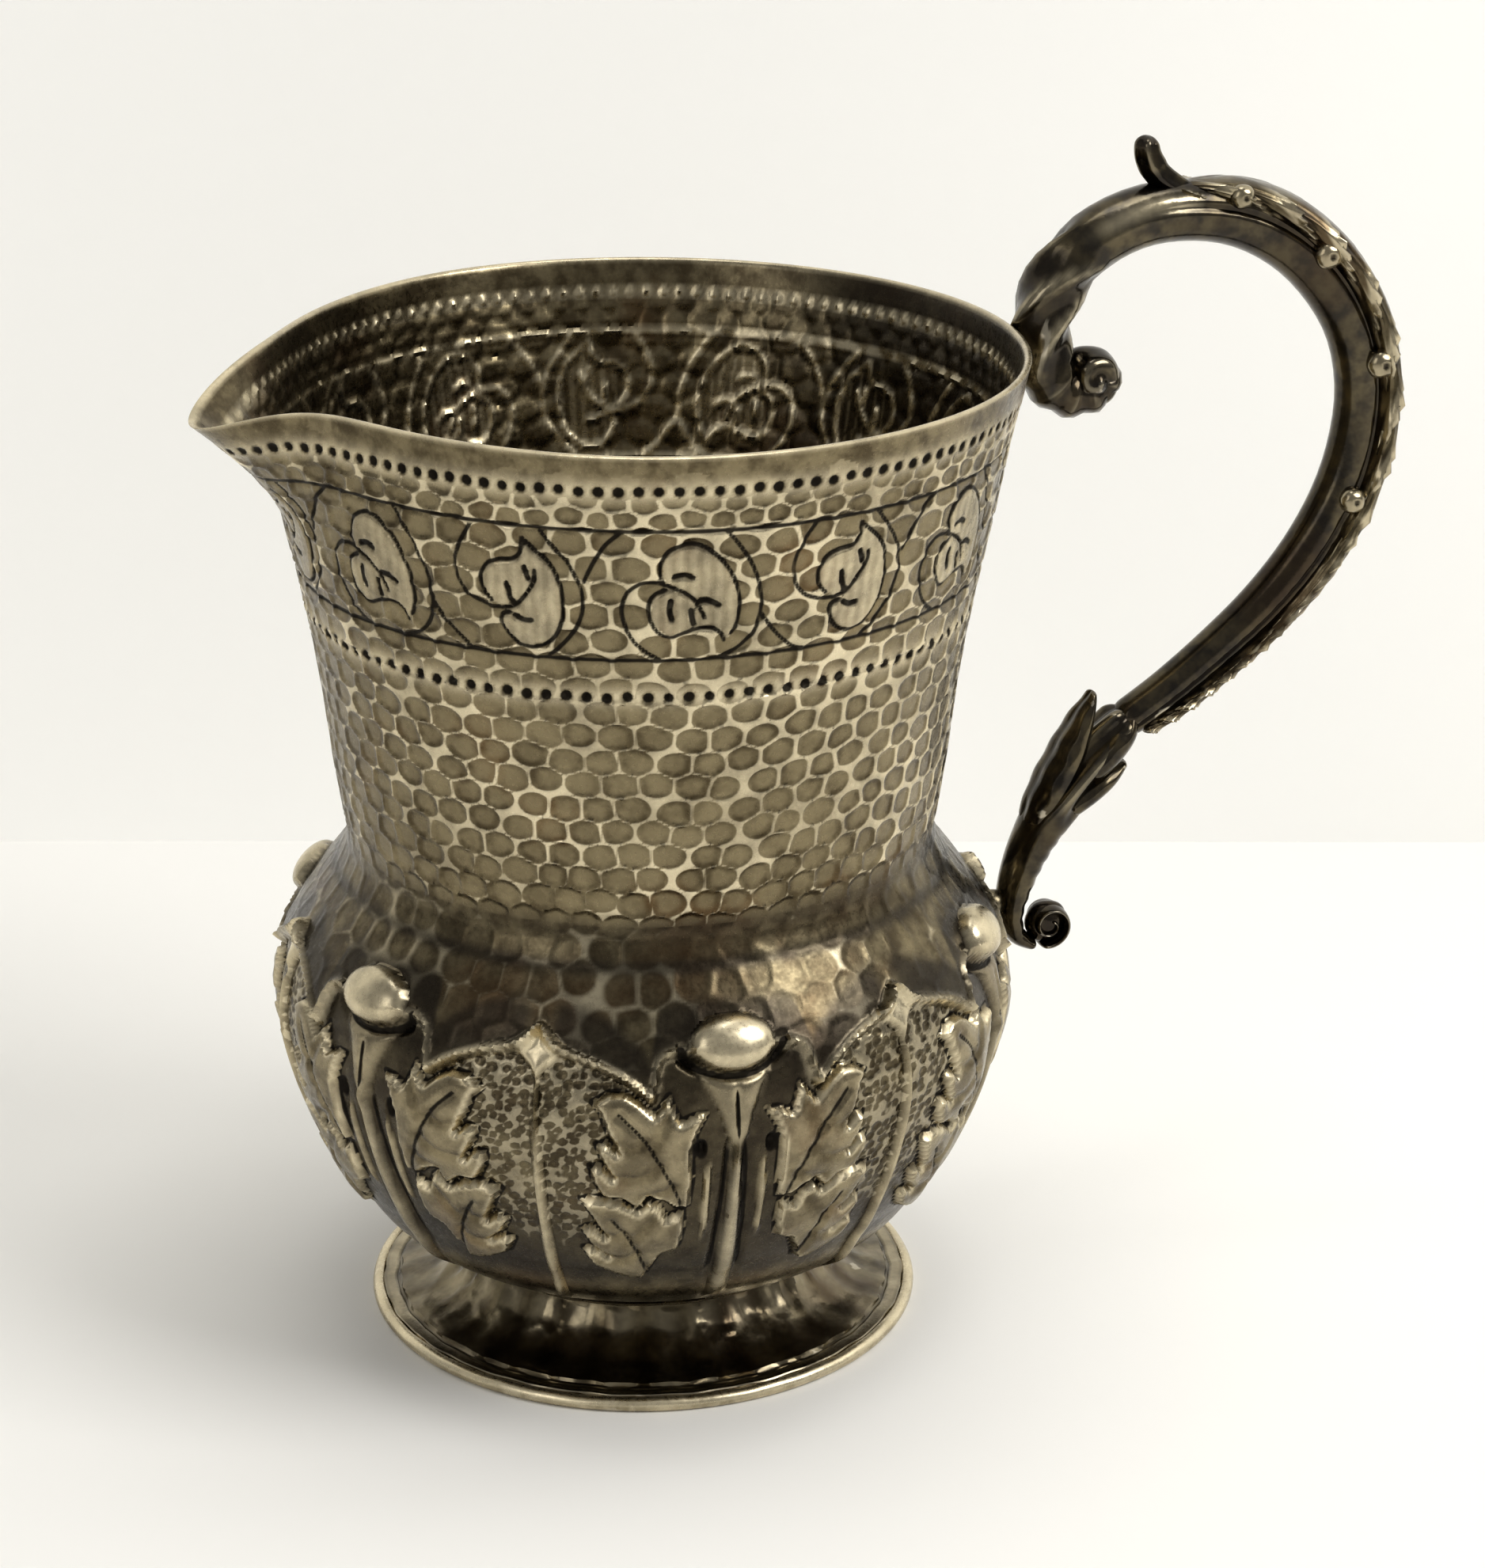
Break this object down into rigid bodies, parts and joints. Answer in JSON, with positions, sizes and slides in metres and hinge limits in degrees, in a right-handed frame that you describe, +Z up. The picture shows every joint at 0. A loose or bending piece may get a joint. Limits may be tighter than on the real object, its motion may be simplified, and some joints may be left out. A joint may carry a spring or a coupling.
{
  "type": "cream jug",
  "caption": "Small footed cream jug with a flared neck, a pulled pouring lip, a lobed bowl and a cast scroll handle.",
  "frame": {"origin": "centre of the foot's underside, on the jug's own axis", "axes": "+Z up along the jug's axis, +X towards the handle, -X towards the pouring lip"},
  "size_m": [0.1055, 0.064, 0.0999],
  "materials": {
    "raised_silver": "hammered silver, burnished on the ridges and oxidised brown in the hollows",
    "foot_silver": "dark oxidised silver, still glossy",
    "wire_silver": "silver worn bright by handling",
    "cast_silver": "cast silver, oxidised grey-black with worn highlights",
    "vine_silver": "cast silver, chased, worn bright on the berries",
    "solder": "dull silver solder"
  },
  "bodies": {
    "root": {"body": "raised_silver", "foot": "foot_silver", "foot_wire": "wire_silver", "foot_solder": "solder", "handle_arch": "cast_silver", "handle_vine": "vine_silver", "thumb_piece": "cast_silver", "leaf_scroll": "cast_silver", "upper_solder": "solder", "lower_solder": "solder"}
  },
  "joints": []
}
